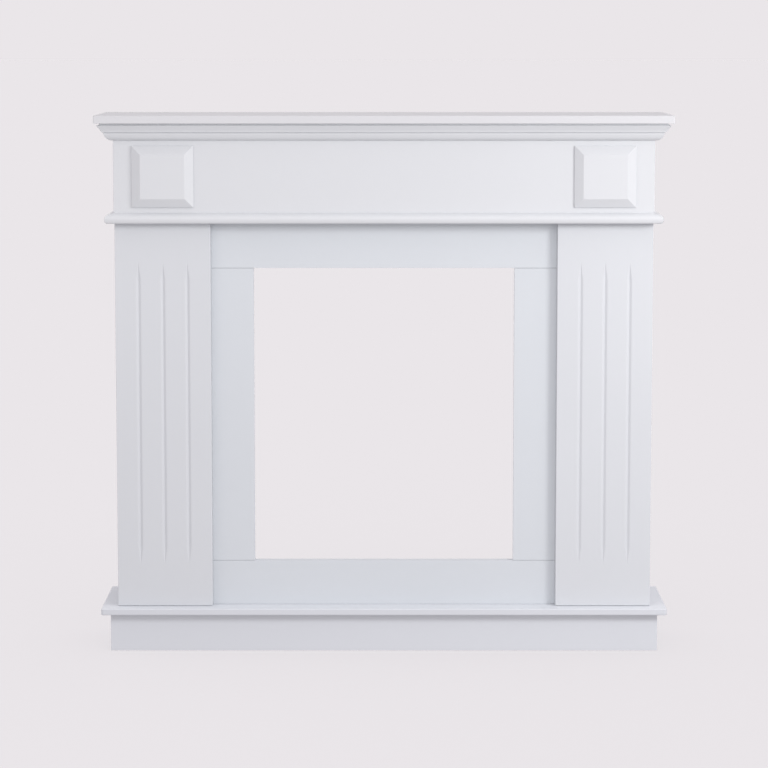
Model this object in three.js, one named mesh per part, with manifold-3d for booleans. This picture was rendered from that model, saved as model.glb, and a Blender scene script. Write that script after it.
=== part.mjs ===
// A freestanding fireplace mantelpiece of white-painted boards: a mantel shelf on a stepped cornice, a plain frieze
// with two raised corner blocks, a round-nosed architrave moulding, two pilasters with V-grooves, a flat recessed
// frame round the fire opening, and a hearth board on a plinth.
// Millimetres, +Z up. The front faces -Y, X runs along the shelf, and the origin is at the middle of the footprint on
// the floor.
import * as THREE from 'three';
import { ConvexGeometry } from 'three/addons/geometries/ConvexGeometry.js';
import { mergeVertices } from 'three/addons/utils/BufferGeometryUtils.js';
import Module from 'manifold-3d';

// ---- driving dimensions ----
const GAP = 0.3; // clearance between pieces that touch
const BOARD = 18; // thickness of the carcass boards

const SHELF_W = 1095;
const SHELF_D = 240;
const SHELF_T = 15;
const SHELF_TOP = 1032; // overall height
const SHELF_ARRIS = 1.2; // eased edge of the shelf

const BACK_Y = SHELF_D / 2; // every board ends flush at the back
const SHELF_OVERHANG = 33.6; // shelf beyond the frieze, at the front and at each end

const BODY_HW = SHELF_W / 2 - SHELF_OVERHANG; // half width over the frieze and the pilasters
const FRIEZE_Y = -SHELF_D / 2 + SHELF_OVERHANG; // front face of the frieze board
const HEADER_BOTTOM = 827; // underside of the header
const PILASTER_SETBACK = 16; // pilaster face behind the frieze face
const FRAME_SETBACK = BOARD; // frame face behind the pilaster face

const PILASTER_W = 182.6;
const PANEL_GAP = 0.6; // open joint above and below each pilaster panel
const PANEL_ARRIS = 1.0;
const GROOVES = 3;
const GROOVE_PITCH = 46.7;
const GROOVE_W = 9;
const GROOVE_DEPTH = 2.8;
const GROOVE_END_LOW = 79; // from the foot of the panel to the end of the groove
const GROOVE_END_HIGH = 73; // from the head of the panel to the end of the groove
const GROOVE_RUNOUT = 36; // length of the taper at each end

const OPENING_W = 500;
const OPENING_LOW = 170.4;
const OPENING_HIGH = 739;
const FRAME_JOINT = 0.5; // visible butt joint between rails and stiles

const BLOCK_W = 117;
const BLOCK_FIELD = 84; // flat square in the middle of a corner block
const BLOCK_EDGE = 3; // upright edge of a corner block
const BLOCK_RELIEF = 13.5;
const BLOCK_X = 420;
const BLOCK_Z = 915.5;

const HEARTH_HW = 544.4;
const HEARTH_FRONT_Y = -101;
const HEARTH_T = 12;
const HEARTH_TOP = 84.3;
const HEARTH_ROUND = 1.2; // radius of the hearth board's top edge
const HEARTH_ROUND_LOW = 2; // and of its bottom edge

const PLINTH_HW = 527.4;
const PLINTH_FRONT_Y = -84;

// Cornice profile: projections from the frieze, heights from its lower edge
const CORNICE_H = 33; // whole height
const CORNICE_TOP = 29.2; // where the upper member ends, under the recessed fillet against the shelf
const CORNICE_FILLET = 23; // projection of that fillet
// lower member, from the frieze outwards: [projection, height]
const CORNICE_LOWER = [[3, 0.4], [7.2, 1.9], [10.4, 4], [12.6, 6.6], [14.3, 9.4], [15.6, 12], [16.2, 14.2]];
// quirk, and the upper member that rolls out of it and splays upwards
const CORNICE_UPPER = [[14.6, 15.6], [18.6, 16], [19.7, 17.2], [20.4, 19], [22, 21.3], [24, 23.9], [26, 26.4], [27.6, 28.3]];

// Architrave moulding profile
const ARCHITRAVE_H = 20;
const ARCHITRAVE_NOSE = [
  [11.8, 0], [13.6, 0.9], [14.9, 2.8], [15.7, 5.6], [16, 8.4], [15.6, 10.9], [14.3, 13.3], [12, 15.5], [8.7, 17.3],
  [4.6, 18.8],
];

// ---- materials ----
const white = (color) => new THREE.MeshStandardMaterial({ color, roughness: 0.5, metalness: 0 });
const paint = {
  shelf: white(0xe6e8ee),
  moulding: white(0xe4e7ed),
  board: white(0xe3e6ed),
  pilaster: white(0xe2e6ee),
  frame: white(0xdfe3ec),
  base: white(0xdfe2e9),
};

const group = new THREE.Group();
function place(name, geometry, material, x = 0, y = 0, z = 0) {
  const mesh = new THREE.Mesh(geometry, material);
  mesh.name = name;
  mesh.position.set(x, y, z);
  group.add(mesh);
  return mesh;
}

// ---- solids and booleans ----
const wasm = await Module();
wasm.setup();

function toManifold(geometry) {
  const bare = geometry.clone();
  bare.deleteAttribute('normal');
  bare.deleteAttribute('uv');
  const merged = mergeVertices(bare, 1e-4);
  const mesh = new wasm.Mesh({
    numProp: 3,
    vertProperties: Float32Array.from(merged.attributes.position.array),
    triVerts: Uint32Array.from(merged.index.array),
  });
  return new wasm.Manifold(mesh);
}

function toGeometry(solid) {
  const mesh = solid.getMesh();
  const geometry = new THREE.BufferGeometry();
  geometry.setAttribute('position', new THREE.BufferAttribute(Float32Array.from(mesh.vertProperties), 3));
  geometry.setIndex(new THREE.BufferAttribute(Uint32Array.from(mesh.triVerts), 1));
  return geometry;
}

const hull = (points) => new ConvexGeometry(points.map(([x, y, z]) => new THREE.Vector3(x, y, z)));

// A box given by its two corners.
function board(name, material, [x0, x1], [y0, y1], [z0, z1]) {
  const geometry = new THREE.BoxGeometry(x1 - x0, y1 - y0, z1 - z0);
  return place(name, geometry, material, (x0 + x1) / 2, (y0 + y1) / 2, (z0 + z1) / 2);
}

// A straight moulding. The profile is (projection, height) on a wall plane at y = 0 facing -Y; the moulding runs along
// X from 0 to length at the wall, and each mitred end grows outwards with the projection.
function moulding(profile, length, mitreStart, mitreEnd) {
  const shape = new THREE.Shape(profile.map(([p, h]) => new THREE.Vector2(p, h)));
  const geometry = new THREE.ExtrudeGeometry(shape, { depth: length, bevelEnabled: false, steps: 1 });
  const at = geometry.attributes.position;
  for (let i = 0; i < at.count; i += 1) {
    const p = at.getX(i);
    const h = at.getY(i);
    const end = at.getZ(i) < length / 2;
    const along = end ? length + (mitreEnd ? p : 0) : -(mitreStart ? p : 0);
    at.setXYZ(i, along, -p, h);
  }
  geometry.computeVertexNormals();
  return geometry;
}

// The same moulding on the three visible walls of the header: the front, and a return on each end, mitred at the front
// corners and cut square at the back.
function mouldingSet(name, profile, bottom, material) {
  const front = 2 * BODY_HW;
  const side = BACK_Y - FRIEZE_Y;
  place(`${name}_front`, moulding(profile, front, true, true), material, -BODY_HW, FRIEZE_Y - GAP, bottom);
  const left = place(`${name}_left`, moulding(profile, side, false, true), material, -BODY_HW - GAP, BACK_Y, bottom);
  left.rotation.z = -Math.PI / 2;
  const right = place(`${name}_right`, moulding(profile, side, true, false), material, BODY_HW + GAP, FRIEZE_Y, bottom);
  right.rotation.z = Math.PI / 2;
}

// ---- mantel shelf: a thin board with eased arrises ----
{
  const w = SHELF_W / 2;
  const d = SHELF_D / 2;
  const a = SHELF_ARRIS;
  const points = [];
  for (const sx of [-1, 1]) {
    for (const sy of [-1, 1]) {
      for (const z of [0, SHELF_T]) {
        points.push([sx * (w - a), sy * (d - a), z]);
      }
      for (const z of [a, SHELF_T - a]) {
        points.push([sx * w, sy * (d - a), z], [sx * (w - a), sy * d, z]);
      }
    }
  }
  place('mantel_shelf', hull(points), paint.shelf, 0, 0, SHELF_TOP - SHELF_T);
}

// ---- cornice: a recessed fillet, a member that splays and rolls under, a quirk, and a larger rounded member ----
const SHELF_LOW = SHELF_TOP - SHELF_T;
{
  const top = CORNICE_H - GAP;
  const profile = [
    [0, 0],
    ...CORNICE_LOWER,
    ...CORNICE_UPPER,
    [28, CORNICE_TOP - 0.3],
    [27.6, CORNICE_TOP],
    [CORNICE_FILLET, CORNICE_TOP + 0.3],
    [CORNICE_FILLET, top],
    [0, top],
  ];
  mouldingSet('cornice', profile, SHELF_LOW - CORNICE_H, paint.moulding);
}

// ---- header box: frieze board, two ends and the bottom board ----
const headerBack = FRIEZE_Y + BOARD;
board('frieze_board', paint.board, [-BODY_HW, BODY_HW], [FRIEZE_Y, headerBack], [HEADER_BOTTOM, SHELF_LOW - GAP]);
for (const [side, s] of [['left', -1], ['right', 1]]) {
  const xs = [s * (BODY_HW - BOARD), s * BODY_HW].sort((a, b) => a - b);
  board(`header_end_${side}`, paint.board, xs, [headerBack + GAP, BACK_Y], [HEADER_BOTTOM, SHELF_LOW - GAP]);
}
{
  const hw = BODY_HW - BOARD - GAP;
  board('header_bottom', paint.board, [-hw, hw], [headerBack + GAP, BACK_Y], [HEADER_BOTTOM, HEADER_BOTTOM + BOARD]);
}

// ---- corner blocks: an upright edge and four bevels rising to a flat square ----
for (const [side, s] of [['left', -1], ['right', 1]]) {
  const points = [];
  for (const sx of [-1, 1]) {
    for (const sz of [-1, 1]) {
      points.push([(sx * BLOCK_W) / 2, 0, (sz * BLOCK_W) / 2]);
      points.push([(sx * BLOCK_W) / 2, -BLOCK_EDGE, (sz * BLOCK_W) / 2]);
      points.push([(sx * BLOCK_FIELD) / 2, -BLOCK_RELIEF, (sz * BLOCK_FIELD) / 2]);
    }
  }
  place(`corner_block_${side}`, hull(points), paint.board, s * BLOCK_X, FRIEZE_Y - GAP, BLOCK_Z);
}

// ---- architrave moulding: a full round nose ----
{
  const profile = [[0, 0], ...ARCHITRAVE_NOSE, [0, ARCHITRAVE_H]];
  mouldingSet('architrave', profile, HEADER_BOTTOM, paint.moulding);
}

// ---- pilasters: a grooved front panel on two side boards, open at the back ----
const panelY = FRIEZE_Y + PILASTER_SETBACK;
const panelBack = panelY + BOARD;
const panelLow = HEARTH_TOP + PANEL_GAP;
const panelHigh = HEADER_BOTTOM - PANEL_GAP;

// The solid that one tapered V-groove removes, about the groove's own line, standing 1 mm proud of the face.
function grooveCutter(low, high) {
  const proud = 1;
  const wide = (GROOVE_W / 2) * (1 + proud / GROOVE_DEPTH);
  const over = (GROOVE_RUNOUT * proud) / GROOVE_DEPTH;
  return hull([
    [-wide, -proud, low + GROOVE_RUNOUT],
    [wide, -proud, low + GROOVE_RUNOUT],
    [-wide, -proud, high - GROOVE_RUNOUT],
    [wide, -proud, high - GROOVE_RUNOUT],
    [0, -proud, low - over],
    [0, -proud, high + over],
    [0, GROOVE_DEPTH, low + GROOVE_RUNOUT],
    [0, GROOVE_DEPTH, high - GROOVE_RUNOUT],
  ]);
}

for (const [side, s] of [['left', -1], ['right', 1]]) {
  const inner = BODY_HW - PILASTER_W;
  const mid = (s * (BODY_HW + inner)) / 2;
  const h = panelHigh - panelLow;
  const points = [];
  const a = PANEL_ARRIS;
  for (const sx of [-1, 1]) {
    for (const z of [0, h]) {
      points.push([(sx * PILASTER_W) / 2, BOARD, z], [(sx * PILASTER_W) / 2, a, z]);
      points.push([sx * (PILASTER_W / 2 - a), 0, z === 0 ? a : h - a]);
    }
  }
  let panel = toManifold(hull(points));
  for (let i = 0; i < GROOVES; i += 1) {
    const cutter = grooveCutter(GROOVE_END_LOW, h - GROOVE_END_HIGH);
    cutter.translate((i - (GROOVES - 1) / 2) * GROOVE_PITCH, 0, 0);
    panel = panel.subtract(toManifold(cutter));
  }
  place(`pilaster_panel_${side}`, toGeometry(panel), paint.pilaster, mid, panelY, panelLow);

  const z = [HEARTH_TOP + GAP, HEADER_BOTTOM - GAP];
  const y = [panelBack + GAP, BACK_Y];
  const outer = [s * (BODY_HW - BOARD), s * BODY_HW].sort((p, q) => p - q);
  const within = [s * inner, s * (inner + BOARD)].sort((p, q) => p - q);
  board(`pilaster_outer_side_${side}`, paint.pilaster, outer, y, z);
  board(`pilaster_inner_side_${side}`, paint.pilaster, within, y, z);
}

// ---- recessed frame: two rails and two stiles round the fire opening ----
{
  const hw = BODY_HW - PILASTER_W - GAP;
  const faceY = panelY + FRAME_SETBACK;
  const y = [faceY, faceY + BOARD];
  board('frame_top_rail', paint.frame, [-hw, hw], y, [OPENING_HIGH, HEADER_BOTTOM - GAP]);
  board('frame_bottom_rail', paint.frame, [-hw, hw], y, [HEARTH_TOP + GAP, OPENING_LOW]);
  const z = [OPENING_LOW + FRAME_JOINT, OPENING_HIGH - FRAME_JOINT];
  board('frame_stile_left', paint.frame, [-hw, -OPENING_W / 2], y, z);
  board('frame_stile_right', paint.frame, [OPENING_W / 2, hw], y, z);
}

// ---- hearth board: rounded along the front and both ends, square at the back ----
{
  const w = HEARTH_HW;
  const y0 = HEARTH_FRONT_Y;
  const points = [];
  const steps = 4;
  for (const sx of [-1, 1]) {
    for (let i = 0; i <= steps; i += 1) {
      const t = (Math.PI / 2) * (i / steps);
      for (const [r, base, up] of [[HEARTH_ROUND_LOW, 0, 1], [HEARTH_ROUND, HEARTH_T, -1]]) {
        const inset = r * (1 - Math.cos(t));
        const z = base + up * r * (1 - Math.sin(t));
        points.push([sx * (w - inset), BACK_Y, z], [sx * (w - inset), y0 + inset, z]);
      }
    }
  }
  place('hearth_board', hull(points), paint.base, 0, 0, HEARTH_TOP - HEARTH_T);
}

// ---- plinth: four boards on edge under the hearth board ----
{
  const top = HEARTH_TOP - HEARTH_T - GAP;
  const back = PLINTH_FRONT_Y + BOARD;
  board('plinth_front', paint.base, [-PLINTH_HW, PLINTH_HW], [PLINTH_FRONT_Y, back], [0, top]);
  board('plinth_side_left', paint.base, [-PLINTH_HW, BOARD - PLINTH_HW], [back + GAP, BACK_Y], [0, top]);
  board('plinth_side_right', paint.base, [PLINTH_HW - BOARD, PLINTH_HW], [back + GAP, BACK_Y], [0, top]);
  const hw = PLINTH_HW - BOARD - GAP;
  board('plinth_back', paint.base, [-hw, hw], [BACK_Y - BOARD, BACK_Y], [0, top]);
}

export default group;
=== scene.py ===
import math

import bpy
import bmesh
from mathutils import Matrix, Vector


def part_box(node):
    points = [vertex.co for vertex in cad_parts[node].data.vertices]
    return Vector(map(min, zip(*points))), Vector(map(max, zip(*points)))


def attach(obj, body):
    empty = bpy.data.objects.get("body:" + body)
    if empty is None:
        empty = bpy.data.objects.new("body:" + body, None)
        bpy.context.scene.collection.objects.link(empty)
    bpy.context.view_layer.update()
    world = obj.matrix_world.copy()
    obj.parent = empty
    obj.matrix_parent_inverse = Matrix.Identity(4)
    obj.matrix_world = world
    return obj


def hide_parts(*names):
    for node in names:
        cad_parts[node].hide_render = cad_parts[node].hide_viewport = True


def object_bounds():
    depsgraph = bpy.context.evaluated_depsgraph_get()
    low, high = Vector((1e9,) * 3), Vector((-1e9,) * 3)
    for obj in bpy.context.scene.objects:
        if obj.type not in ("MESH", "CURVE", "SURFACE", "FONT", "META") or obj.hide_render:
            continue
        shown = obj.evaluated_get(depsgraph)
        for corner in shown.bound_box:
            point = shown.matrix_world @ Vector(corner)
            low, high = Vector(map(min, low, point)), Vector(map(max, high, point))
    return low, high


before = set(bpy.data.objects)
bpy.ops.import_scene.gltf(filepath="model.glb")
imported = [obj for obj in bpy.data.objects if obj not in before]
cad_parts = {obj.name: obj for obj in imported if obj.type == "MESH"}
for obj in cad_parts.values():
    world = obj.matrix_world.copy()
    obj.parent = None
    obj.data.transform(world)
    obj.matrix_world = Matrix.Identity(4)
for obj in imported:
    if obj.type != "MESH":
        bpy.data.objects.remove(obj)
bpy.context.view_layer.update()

MM = 0.001

# ------------------------------------------------------------------ look
HAZE = (0.823, 0.791, 0.815)      # the pale studio behind the object, and the floor far away
# satin white lacquer, a little cool, one paint throughout; each group of pieces has its tone set slightly lighter or
# darker, painted light and shade that stands in for the differing light falling on them
PAINT = {
    "shelf": (0.650, 0.655, 0.673),
    "header": (0.663, 0.679, 0.700),
    "pilaster": (0.656, 0.676, 0.702),
    "frame": (0.650, 0.681, 0.712),
    "base": (0.682, 0.704, 0.741),
}
PRIMER = (0.70, 0.70, 0.71)       # thin primer on faces that stand against a wall or inside


# ------------------------------------------------------------------ materials
def new_material(name):
    mat = bpy.data.materials.new(name)
    mat.use_nodes = True
    nt = mat.node_tree
    nt.nodes.clear()
    out = nt.nodes.new("ShaderNodeOutputMaterial")
    bsdf = nt.nodes.new("ShaderNodeBsdfPrincipled")
    nt.links.new(bsdf.outputs["BSDF"], out.inputs["Surface"])
    return mat, nt, bsdf


def noise_node(nt, coord, scale, detail=2.0, rough=0.5, seed=0.0):
    n = nt.nodes.new("ShaderNodeTexNoise")
    n.noise_dimensions = "4D"
    n.inputs["W"].default_value = seed
    n.inputs["Scale"].default_value = scale
    n.inputs["Detail"].default_value = detail
    n.inputs["Roughness"].default_value = rough
    nt.links.new(coord, n.inputs["Vector"])
    return n.outputs["Fac"]


def remap(nt, value, a, b, c, d):
    n = nt.nodes.new("ShaderNodeMapRange")
    n.inputs["From Min"].default_value = a
    n.inputs["From Max"].default_value = b
    n.inputs["To Min"].default_value = c
    n.inputs["To Max"].default_value = d
    nt.links.new(value, n.inputs["Value"])
    return n.outputs["Result"]


def shade_of(color, k):
    return (color[0] * k, color[1] * k, color[2] * k, 1.0)


def paint_material(name, color, rough, seed, tone=0.012, peel=1.0):
    """Sprayed satin lacquer on smooth fibreboard: a faint broad drift of tone, patches of sheen a hand across, and the
    fine orange peel of the spray, about two millimetres from crest to crest."""
    mat, nt, bsdf = new_material(name)
    coord = nt.nodes.new("ShaderNodeTexCoord").outputs["Object"]
    broad = noise_node(nt, coord, 3.1, 3.0, 0.5, seed)
    fine = noise_node(nt, coord, 46.0, 4.0, 0.6, seed + 3.7)
    both = nt.nodes.new("ShaderNodeMath")
    both.operation = "MULTIPLY_ADD"
    both.inputs[1].default_value = 0.35
    nt.links.new(fine, both.inputs[0])
    nt.links.new(broad, both.inputs[2])
    ramp = nt.nodes.new("ShaderNodeValToRGB")
    ramp.color_ramp.elements[0].position = 0.42
    ramp.color_ramp.elements[0].color = shade_of(color, 1.0 - tone)
    ramp.color_ramp.elements[1].position = 0.92
    ramp.color_ramp.elements[1].color = shade_of(color, 1.0 + tone)
    nt.links.new(both.outputs[0], ramp.inputs["Fac"])
    nt.links.new(ramp.outputs["Color"], bsdf.inputs["Base Color"])
    patches = noise_node(nt, coord, 17.0, 3.0, 0.55, seed + 9.1)
    nt.links.new(remap(nt, patches, 0.3, 0.7, rough - 0.035, rough + 0.035), bsdf.inputs["Roughness"])
    bsdf.inputs["IOR"].default_value = 1.47
    bsdf.inputs["Specular IOR Level"].default_value = 0.42
    wave = noise_node(nt, coord, 430.0, 2.0, 0.45, seed + 1.3)
    grit = noise_node(nt, coord, 1900.0, 1.0, 0.5, seed + 5.9)
    b1 = nt.nodes.new("ShaderNodeBump")
    b1.inputs["Strength"].default_value = 0.16 * peel
    b1.inputs["Distance"].default_value = 0.00016
    nt.links.new(wave, b1.inputs["Height"])
    b2 = nt.nodes.new("ShaderNodeBump")
    b2.inputs["Strength"].default_value = 0.10 * peel
    b2.inputs["Distance"].default_value = 0.00005
    nt.links.new(grit, b2.inputs["Height"])
    nt.links.new(b1.outputs["Normal"], b2.inputs["Normal"])
    nt.links.new(b2.outputs["Normal"], bsdf.inputs["Normal"])
    return mat


def primer_material(name, color, seed):
    """Thin primer rolled over raw fibreboard: matt, with the board's fibres showing through as a soft mottle."""
    mat, nt, bsdf = new_material(name)
    coord = nt.nodes.new("ShaderNodeTexCoord").outputs["Object"]
    fibre = noise_node(nt, coord, 620.0, 5.0, 0.7, seed)
    cloud = noise_node(nt, coord, 21.0, 4.0, 0.6, seed + 2.0)
    ramp = nt.nodes.new("ShaderNodeValToRGB")
    ramp.color_ramp.elements[0].position = 0.30
    ramp.color_ramp.elements[0].color = shade_of((color[0] * 0.985, color[1] * 0.97, color[2] * 0.945), 0.95)
    ramp.color_ramp.elements[1].position = 0.70
    ramp.color_ramp.elements[1].color = shade_of(color, 1.02)
    mixed = nt.nodes.new("ShaderNodeMath")
    mixed.operation = "MULTIPLY_ADD"
    mixed.inputs[1].default_value = 0.45
    nt.links.new(fibre, mixed.inputs[0])
    half = nt.nodes.new("ShaderNodeMath")
    half.operation = "MULTIPLY"
    half.inputs[1].default_value = 0.55
    nt.links.new(cloud, half.inputs[0])
    nt.links.new(half.outputs[0], mixed.inputs[2])
    nt.links.new(mixed.outputs[0], ramp.inputs["Fac"])
    nt.links.new(ramp.outputs["Color"], bsdf.inputs["Base Color"])
    nt.links.new(remap(nt, cloud, 0.3, 0.7, 0.66, 0.80), bsdf.inputs["Roughness"])
    bsdf.inputs["Specular IOR Level"].default_value = 0.3
    b = nt.nodes.new("ShaderNodeBump")
    b.inputs["Strength"].default_value = 0.25
    b.inputs["Distance"].default_value = 0.0002
    nt.links.new(fibre, b.inputs["Height"])
    nt.links.new(b.outputs["Normal"], bsdf.inputs["Normal"])
    return mat


# each slot's lacquer carries its group's painted lighter or darker tone from PAINT
MATS = {
    "painted_shelf": paint_material("satin_white_shelf", PAINT["shelf"], 0.40, 1.0),
    "painted_moulding": paint_material("satin_white_moulding", PAINT["header"], 0.42, 12.0, peel=0.7),
    "painted_header": paint_material("satin_white_header", PAINT["header"], 0.43, 23.0),
    "painted_pilaster": paint_material("satin_white_pilaster", PAINT["pilaster"], 0.43, 34.0),
    "painted_frame": paint_material("satin_white_frame", PAINT["frame"], 0.45, 45.0),
    "painted_base": paint_material("satin_white_base", PAINT["base"], 0.44, 56.0),
}
PRIMED = primer_material("primed_board", PRIMER, 71.0)


# ------------------------------------------------------------------ mesh helpers
def quarter(n):
    """(inset share, rise share) of a quarter round, from the flat end to the upright side."""
    return [(1 - math.sin(t), 1 - math.cos(t)) for t in (math.pi / 2 * i / n for i in range(n + 1))]


def rounded_outline(x0, x1, y0, y1, radii, n):
    """A rectangle's outline, counter-clockwise from the lower left corner, with a radius for each corner."""
    corners = [(x0, y0, 180, radii[0]), (x1, y0, 270, radii[1]), (x1, y1, 0, radii[2]), (x0, y1, 90, radii[3])]
    pts = []
    for cx, cy, a0, r in corners:
        sx = 1 if cx == x0 else -1
        sy = 1 if cy == y0 else -1
        ox, oy = cx + sx * r, cy + sy * r
        for i in range(n + 1):
            a = math.radians(a0 + 90 * i / n)
            pts.append((ox + r * math.cos(a), oy + r * math.sin(a)))
    return pts


def loft(rings):
    """A closed solid through rings of equal length, with a flat face on the first and the last."""
    bm = bmesh.new()
    rows = [[bm.verts.new(p) for p in ring] for ring in rings]
    n = len(rows[0])
    for a, b in zip(rows, rows[1:]):
        for i in range(n):
            j = (i + 1) % n
            bm.faces.new((a[i], a[j], b[j], b[i]))
    bm.faces.new(list(reversed(rows[0])))
    bm.faces.new(rows[-1])
    bmesh.ops.recalc_face_normals(bm, faces=bm.faces[:])
    return bm


PIECES = []
FILLER = 0.3      # millimetres that filler and paint close in the joint behind a moulding or a block


def piece(name, bm, node, slot, hidden=None):
    """Makes the object from a bmesh: smooth shading with true creases, its finish, and its place in the frame. hidden
    says which faces are primed board rather than lacquer."""
    mesh = bpy.data.meshes.new(name)
    bm.to_mesh(mesh)
    bm.free()
    obj = bpy.data.objects.new(name, mesh)
    bpy.context.scene.collection.objects.link(obj)
    mesh.materials.append(MATS[slot])
    mesh.materials.append(PRIMED)
    for p in mesh.polygons:
        p.use_smooth = True
        if hidden and hidden(Vector(p.center), Vector(p.normal)):
            p.material_index = 1
    mesh.set_sharp_from_angle(angle=math.radians(40))
    even = obj.modifiers.new("even_normals", "WEIGHTED_NORMAL")
    even.mode = "FACE_AREA"
    even.weight = 100
    even.keep_sharp = True
    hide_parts(node)
    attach(obj, "root")
    PIECES.append(obj)
    return obj


def swap(point, axis):
    """Turns (a, b, c), with c along the thickness, into x, y, z for a board whose thickness lies along that axis."""
    a, b, c = point
    return {"x": (c, a, b), "y": (b, c, a), "z": (a, b, c)}[axis]


def unswap(lo, hi, axis):
    i = {"x": (1, 2, 0), "y": (2, 0, 1), "z": (0, 1, 2)}[axis]
    return [lo[k] for k in i], [hi[k] for k in i]


def eased_board(name, node, slot, axis, arris=0.7, corner=None, low_arris=None, n=3, spread=(0, 0), hidden=None):
    """A board with its arrises eased. axis is the one its thickness lies along; arris is the radius of the edges round
    the far face, low_arris of those round the near one, and corner of the four short edges between the faces. spread
    lengthens it to the left and to the right, where paint closes its joint."""
    lo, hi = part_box(node)
    lo, hi = Vector(lo), Vector(hi)
    lo.x -= spread[0]
    hi.x += spread[1]
    lo, hi = unswap(lo, hi, axis)
    corner = arris if corner is None else corner
    corner = [corner] * 4 if not isinstance(corner, (list, tuple)) else corner
    low_arris = arris if low_arris is None else low_arris
    rings = []
    r = low_arris * MM
    steps = [(i, k * r, lo[2] + j * r) for i, (k, j) in enumerate(quarter(n))]
    r = arris * MM
    steps += [(i, k * r, hi[2] - j * r) for i, (k, j) in enumerate(reversed(quarter(n)))]
    for _, inset, c in steps:
        radii = [max(q * MM - inset, 0.00005) for q in corner]
        outline = rounded_outline(lo[0] + inset, hi[0] - inset, lo[1] + inset, hi[1] - inset, radii, n)
        rings.append([swap((a, b, c), axis) for a, b in outline])
    return piece(name, loft(rings), node, slot, hidden)


# ------------------------------------------------------------------ profiles
def curve(points, n=4):
    """A smooth line through the points."""
    out = []
    for i in range(len(points) - 1):
        p0, p1 = points[max(i - 1, 0)], points[i]
        p2, p3 = points[i + 1], points[min(i + 2, len(points) - 1)]
        for k in range(n):
            t = k / n
            out.append(tuple(
                0.5 * (2 * b + (c - a) * t + (2 * a - 5 * b + 4 * c - d) * t * t + (3 * b - a - 3 * c + d) * t ** 3)
                for a, b, c, d in zip(p0, p1, p2, p3)))
    return out + [points[-1]]


def soften(profile, r, n=3):
    """Rounds the profile's sharp corners, turning more than 25 degrees, to radius r. The wall line at p = 0 stays."""
    out = []
    count = len(profile)
    for i, p in enumerate(profile):
        a, c = Vector(profile[i - 1]), Vector(profile[(i + 1) % count])
        b = Vector(p)
        u, v = (a - b), (c - b)
        lu, lv = u.length, v.length
        u.normalize()
        v.normalize()
        turn = math.pi - u.angle(v)
        if turn < math.radians(25) or p[0] < 1e-6:
            out.append(tuple(b))
            continue
        cut = min(r * math.tan(turn / 2), 0.4 * lu, 0.4 * lv)
        s, e = b + u * cut, b + v * cut
        for k in range(n + 1):
            t = k / n
            q = s * (1 - t) ** 2 + b * 2 * t * (1 - t) + e * t * t
            out.append(tuple(q))
    return out


def moulding(name, node, slot, profile, side, bottom):
    """A mitred moulding on the header's front or one of its ends. profile is (projection, height) in millimetres from
    the wall that the CAD solid starts at."""
    lo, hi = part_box(node)
    reach = max(p for p, _ in profile) * MM
    profile = [(p if p > 0.01 else -FILLER, h) for p, h in profile]
    rings = []
    stations = 9
    for i in range(stations):
        t = i / (stations - 1)
        ring = []
        for p, h in profile:
            p, z = p * MM, bottom + h * MM
            if side == "front":
                wall = hi.y
                x0, x1 = lo.x + reach - p, hi.x - reach + p
                ring.append((x0 + (x1 - x0) * t, wall - p, z))
            else:
                wall = hi.x if side == "left" else lo.x
                y0, y1 = lo.y + reach - p, hi.y
                x = wall - p if side == "left" else wall + p
                ring.append((x, y0 + (y1 - y0) * t, z))
        rings.append(ring)
    return piece(name, loft(rings), node, slot, lambda c, n: n.y > 0.9 and abs(c.y - hi.y) < 0.002 and side != "front")


# ------------------------------------------------------------------ mantel shelf
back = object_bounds()[1].y


def at_back(c, n):
    return n.y > 0.7


eased_board("mantel_shelf_painted", "mantel_shelf", "painted_shelf", "z", arris=1.2, low_arris=0.6,
            corner=[2.0, 2.0, 0.8, 0.8], n=5, hidden=lambda c, n: n.y > 0.7)

# ------------------------------------------------------------------ cornice
c_lo, c_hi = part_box("cornice_front")
cornice_h = (c_hi.z - c_lo.z) / MM
cornice_profile = (
    [(0, 0)]
    + curve([(3.0, 0.4), (7.2, 1.9), (10.4, 4.0), (12.6, 6.6), (14.3, 9.4), (15.6, 12.0), (16.2, 14.2)])
    + [(14.6, 15.6)]
    + curve([(18.6, 16.0), (19.7, 17.2), (20.4, 19.0), (22.0, 21.3), (24.0, 23.9), (26.0, 26.4), (27.6, 28.3)])
    + [(28.0, 28.9), (27.6, 29.2), (23.0, 29.5), (23.0, cornice_h), (0, cornice_h)]
)
cornice_profile = soften(cornice_profile, 0.35)
for side in ("front", "left", "right"):
    moulding(f"cornice_{side}_painted", f"cornice_{side}", "painted_moulding", cornice_profile, side, c_lo.z)

# ------------------------------------------------------------------ header box
eased_board("frieze_board_painted", "frieze_board", "painted_header", "y", arris=0.5, low_arris=1.0, corner=0.8,
            hidden=at_back)
for side, inward in (("left", 1), ("right", -1)):
    eased_board(f"header_end_{side}_painted", f"header_end_{side}", "painted_header", "x", arris=0.6,
                hidden=lambda c, n, k=inward: n.x * k > 0.7 or n.y > 0.7)
eased_board("header_bottom_painted", "header_bottom", "painted_header", "z", arris=0.6,
            hidden=lambda c, n: True)

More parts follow.
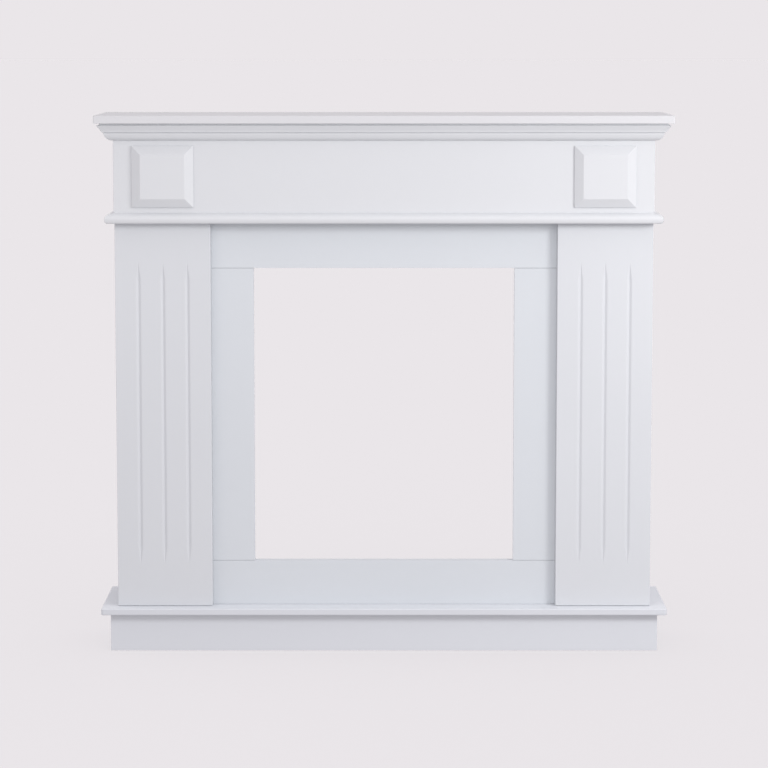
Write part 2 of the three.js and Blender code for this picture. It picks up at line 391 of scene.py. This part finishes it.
# ------------------------------------------------------------------ corner blocks
for side in ("left", "right"):
    lo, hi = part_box(f"corner_block_{side}")
    cx, cz = (lo.x + hi.x) / 2, (lo.z + hi.z) / 2
    half, field, edge, relief = 58.5 * MM, 42 * MM, 3 * MM, 13.5 * MM
    wall = hi.y + FILLER * MM
    bm = bmesh.new()
    rows = []
    for h, y in ((half, wall), (half, hi.y - edge), (field, hi.y - relief)):
        rows.append([bm.verts.new((cx + sx * h, y, cz + sz * h)) for sx, sz in ((-1, -1), (1, -1), (1, 1), (-1, 1))])
    for a, b in zip(rows, rows[1:]):
        for i in range(4):
            j = (i + 1) % 4
            bm.faces.new((a[i], a[j], b[j], b[i]))
    bm.faces.new(list(reversed(rows[0])))
    bm.faces.new(rows[-1])
    bmesh.ops.recalc_face_normals(bm, faces=bm.faces[:])
    soft = [e for e in bm.edges if sum(abs(v.co.y - wall) < 1e-6 for v in e.verts) == 0]
    bmesh.ops.bevel(bm, geom=soft, offset=0.7 * MM, segments=3, profile=0.5, affect="EDGES", clamp_overlap=True)
    piece(f"corner_block_{side}_painted", bm, f"corner_block_{side}", "painted_header", lambda c, n: n.y > 0.7)

# ------------------------------------------------------------------ architrave moulding
a_lo, a_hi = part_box("architrave_front")
architrave_profile = (
    [(0, 0)]
    + curve([(11.8, 0.0), (13.6, 0.9), (14.9, 2.8), (15.7, 5.6), (16.0, 8.4), (15.6, 10.9), (14.3, 13.3), (12.0, 15.5),
             (8.7, 17.3), (4.6, 18.8), (0.0, 20.0)])
)
architrave_profile = soften(architrave_profile, 0.4)
for side in ("front", "left", "right"):
    moulding(f"architrave_{side}_painted", f"architrave_{side}", "painted_moulding", architrave_profile, side, a_lo.z)


# ------------------------------------------------------------------ pilasters
GROOVE_PITCH, GROOVE_W, GROOVE_DEPTH = 46.7 * MM, 9 * MM, 2.8 * MM
GROOVE_LOW, GROOVE_HIGH, RUNOUT = 79 * MM, 73 * MM, 36 * MM


def groove_section(share):
    """Offsets (x, depth) across one V-groove at a share of its full size: rounded shoulders, straight walls and a
    slightly rounded root, as paint leaves them."""
    w, d = GROOVE_W / 2 * share, GROOVE_DEPTH * share
    shoulder, root = 0.14, 0.10
    half = [(1.0 + shoulder, 0.0), (1.0 + shoulder * 0.35, 0.030), (1.0 - shoulder * 0.55, 0.110), (0.78, 0.24),
            (0.45, 0.56), (root * 1.4, 0.885), (root * 0.6, 0.945), (0.0, 0.962)]
    left = [(-a * w, b * d) for a, b in half]
    return left + [(a * w, b * d) for a, b in reversed(half[:-1])]


for side in ("left", "right"):
    lo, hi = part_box(f"pilaster_panel_{side}")
    cx = (lo.x + hi.x) / 2
    r = 1.0 * MM
    z_low, z_high = lo.z + GROOVE_LOW, hi.z - GROOVE_HIGH
    levels = [(lo.z + r * j, r * k) for k, j in quarter(3)]
    levels += [(z_low - 2 * MM, 0.0)]
    levels += [(z_low + RUNOUT * i / 10, 0.0) for i in range(11)]
    levels += [(z_low + RUNOUT + (z_high - z_low - 2 * RUNOUT) * i / 12, 0.0) for i in range(1, 12)]
    levels += [(z_high - RUNOUT * i / 10, 0.0) for i in reversed(range(11))]
    levels += [(z_high + 2 * MM, 0.0)]
    levels += [(hi.z - r * j, r * k) for k, j in reversed(quarter(3))]
    rings = []
    for z, inset in levels:
        share = max(0.015, min(1.0, (z - z_low) / RUNOUT, (z_high - z) / RUNOUT))
        # the front line from left to right, with the panel's own eased edges at its ends
        x0, x1, y0 = lo.x + inset, hi.x - inset, lo.y + inset
        q = max(r - inset, 0.00005)
        ring = [(x0 + q * (1 - math.cos(t)), y0 + q * (1 - math.sin(t)), z)
                for t in (math.pi / 2 * i / 3 for i in range(4))]
        for g in (-1, 0, 1):
            gx = cx + g * GROOVE_PITCH
            ring += [(gx + dx, y0 + dy, z) for dx, dy in groove_section(share)]
        ring += [(x1 - q * (1 - math.cos(t)), y0 + q * (1 - math.sin(t)), z)
                 for t in (math.pi / 2 * i / 3 for i in reversed(range(4)))]
        e = 0.5 * MM
        ring += [(x1, hi.y - e, z), (x1 - e, hi.y, z), (x0 + e, hi.y, z), (x0, hi.y - e, z)]
        rings.append(ring)
    piece(f"pilaster_panel_{side}_painted", loft(rings), f"pilaster_panel_{side}", "painted_pilaster", at_back)
    k = 1 if side == "left" else -1
    eased_board(f"pilaster_outer_side_{side}_painted", f"pilaster_outer_side_{side}", "painted_pilaster", "x",
                arris=0.6, hidden=lambda c, n, k=k: n.x * k > 0.7 or n.y > 0.7)
    eased_board(f"pilaster_inner_side_{side}_painted", f"pilaster_inner_side_{side}", "painted_pilaster", "x",
                arris=0.6, hidden=lambda c, n: True)

# ------------------------------------------------------------------ recessed frame
for node in ("frame_top_rail", "frame_bottom_rail", "frame_stile_left", "frame_stile_right"):
    eased_board(f"{node}_painted", node, "painted_frame", "y", arris=0.5, low_arris=0.2, corner=0.3,
                spread=((FILLER - 0.04) * MM if "left" in node or "rail" in node else 0,
                        (FILLER - 0.04) * MM if "right" in node or "rail" in node else 0), hidden=at_back)

# ------------------------------------------------------------------ hearth board and plinth
h_lo, h_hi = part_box("hearth_board")
NOSE, LOW_NOSE = 1.2, 2.0         # millimetres, the hearth board's rounded edges
rings = []
for inset, z in [(k * LOW_NOSE * MM, h_lo.z + j * LOW_NOSE * MM) for k, j in quarter(6)] + \
        [(k * NOSE * MM, h_hi.z - j * NOSE * MM) for k, j in reversed(quarter(6))]:
    front = max(5 * MM - inset, 0.0002)
    outline = rounded_outline(h_lo.x + inset, h_hi.x - inset, h_lo.y + inset, h_hi.y,
                              [front, front, 0.0005, 0.0005], 6)
    rings.append([(a, b, z) for a, b in outline])
board = piece("hearth_board_painted", loft(rings), "hearth_board", "painted_base",
              lambda c, n: n.y > 0.7 or n.z < -0.99)
# the hearth board's lacquer is the base paint darkened by four percent: painted shade that keeps its front face dim
# while a lamp lifts its top
board.data.materials[0] = paint_material("satin_white_hearth_painted_shade", [c * 0.96 for c in PAINT["base"]], 0.44, 67.0)
eased_board("plinth_front_painted", "plinth_front", "painted_base", "y", arris=0.5, low_arris=0.9, corner=0.8,
            hidden=at_back)
for side, inward in (("left", 1), ("right", -1)):
    eased_board(f"plinth_side_{side}_painted", f"plinth_side_{side}", "painted_base", "x", arris=0.6,
                hidden=lambda c, n, k=inward: n.x * k > 0.7)
eased_board("plinth_back_painted", "plinth_back", "painted_base", "y", arris=0.8, hidden=lambda c, n: True)


# ------------------------------------------------------------------ floor
FLOOR_TONE = 0.25
WASH = math.pi * HAZE[0] * (1.0 / FLOOR_TONE - 1.0)     # with the studio's light, it shows the floor at HAZE


def floor():
    mesh = bpy.data.meshes.new("studio_floor")
    obj = bpy.data.objects.new("studio_floor", mesh)
    bpy.context.scene.collection.objects.link(obj)
    bm = bmesh.new()
    bmesh.ops.create_circle(bm, cap_ends=True, radius=120.0, segments=96)
    bm.to_mesh(mesh)
    bm.free()
    mat, nt, bsdf = new_material("pale_floor")
    coord = nt.nodes.new("ShaderNodeTexCoord").outputs["Object"]
    drift = noise_node(nt, coord, 0.7, 2.0, 0.5, 4.0)
    ramp = nt.nodes.new("ShaderNodeValToRGB")
    ramp.color_ramp.elements[0].color = shade_of((FLOOR_TONE,) * 3, 0.997)
    ramp.color_ramp.elements[1].color = shade_of((FLOOR_TONE,) * 3, 1.003)
    nt.links.new(drift, ramp.inputs["Fac"])
    nt.links.new(ramp.outputs["Color"], bsdf.inputs["Base Color"])
    bsdf.inputs["Roughness"].default_value = 0.9
    bsdf.inputs["Specular IOR Level"].default_value = 0.0
    mesh.materials.append(mat)
    return obj


FLOOR = floor()

# ------------------------------------------------------------------ light
world = bpy.data.worlds.new("studio")
bpy.context.scene.world = world
world.use_nodes = True
wt = world.node_tree
wt.nodes.clear()
w_out = wt.nodes.new("ShaderNodeOutputWorld")
w_bg = wt.nodes.new("ShaderNodeBackground")
# the studio is bright all round; below the horizon, where only the floor is seen, less light comes back
w_co = wt.nodes.new("ShaderNodeTexCoord")
w_sep = wt.nodes.new("ShaderNodeSeparateXYZ")
wt.links.new(w_co.outputs["Generated"], w_sep.inputs["Vector"])
w_ramp = wt.nodes.new("ShaderNodeValToRGB")
wt.links.new(remap(wt, w_sep.outputs["Z"], -0.030, -0.012, 0.0, 1.0), w_ramp.inputs["Fac"])
BELOW = 0.75
w_ramp.color_ramp.elements[0].color = (HAZE[0] * BELOW, HAZE[1] * BELOW, HAZE[2] * BELOW, 1)
w_ramp.color_ramp.elements[1].color = (*HAZE, 1)
wt.links.new(w_ramp.outputs["Color"], w_bg.inputs["Color"])
w_bg.inputs["Strength"].default_value = 1.0
wt.links.new(w_bg.outputs["Background"], w_out.inputs["Surface"])


def only(lamp, name, objects):
    """Lets a lamp light these objects and nothing else."""
    group = bpy.data.collections.new(name)
    for obj in objects:
        group.objects.link(obj)
    lamp.light_linking.receiver_collection = group


# a soft light from overhead brings the floor up to the tone of the studio behind it; it throws no shadow of its own
sun_data = bpy.data.lights.new("floor_wash", "SUN")
sun_data.energy = WASH
sun_data.angle = math.radians(40)
sun_data.color = (1.0, HAZE[1] / HAZE[0], HAZE[2] / HAZE[0])
sun = bpy.data.objects.new("floor_wash", sun_data)
sun.location = (0, 0, 4)
bpy.context.scene.collection.objects.link(sun)
only(sun, "floor_only", [FLOOR])
sun.light_linking.blocker_collection = sun.light_linking.receiver_collection
FLOOR.visible_diffuse = False     # its bounce is left to the tone below the horizon, which it doesn't hide
FLOOR.visible_shadow = False


def area_light(name, at, target, size, power, color=(1, 1, 1)):
    data = bpy.data.lights.new(name, "AREA")
    data.shape = "RECTANGLE"
    data.size, data.size_y = size
    data.energy = power
    data.color = color
    obj = bpy.data.objects.new(name, data)
    obj.location = at
    obj.rotation_mode = "QUATERNION"
    obj.rotation_quaternion = (Vector(target) - Vector(at)).to_track_quat("-Z", "Y")
    bpy.context.scene.collection.objects.link(obj)
    return obj


for lamp in (
    area_light("key_softbox", (1.60, -1.40, 1.25), (0.0, -0.05, 0.60), (0.60, 0.50), 16.8),
    area_light("front_strip", (-0.30, -1.40, 1.20), (0.0, -0.05, 0.60), (2.80, 0.35), 5.7),
):
    only(lamp, lamp.name + "_object", PIECES)
only(area_light("hearth_top_lift", (0.0, -0.42, 1.90), (0.0, -0.08, 0.08), (1.60, 0.40), 5.0), "hearth_only", [board])
only(area_light("architrave_lift", (-0.10, -0.35, 1.90), (0.0, -0.10, 0.84), (2.20, 0.25), 1.3), "architrave_only",
     [o for o in PIECES if o.name.startswith("architrave")])

# ------------------------------------------------------------------ camera
LENS = 128.1
PITCH = math.radians(6.03)
cam_data = bpy.data.cameras.new("camera")
cam_data.lens = LENS
cam_data.sensor_width = 36
cam_data.shift_y = -0.08
cam = bpy.data.objects.new("camera", cam_data)
bpy.context.scene.collection.objects.link(cam)
cam.location = (0.0, -5.2704, 1.185)
cam.rotation_mode = "XYZ"
cam.rotation_euler = (math.pi / 2 - PITCH, 0, 0)
cam_data.clip_start, cam_data.clip_end = 0.05, 500
bpy.context.scene.camera = cam

bpy.context.scene.view_settings.view_transform = "Standard"
bpy.context.scene.view_settings.look = "None"
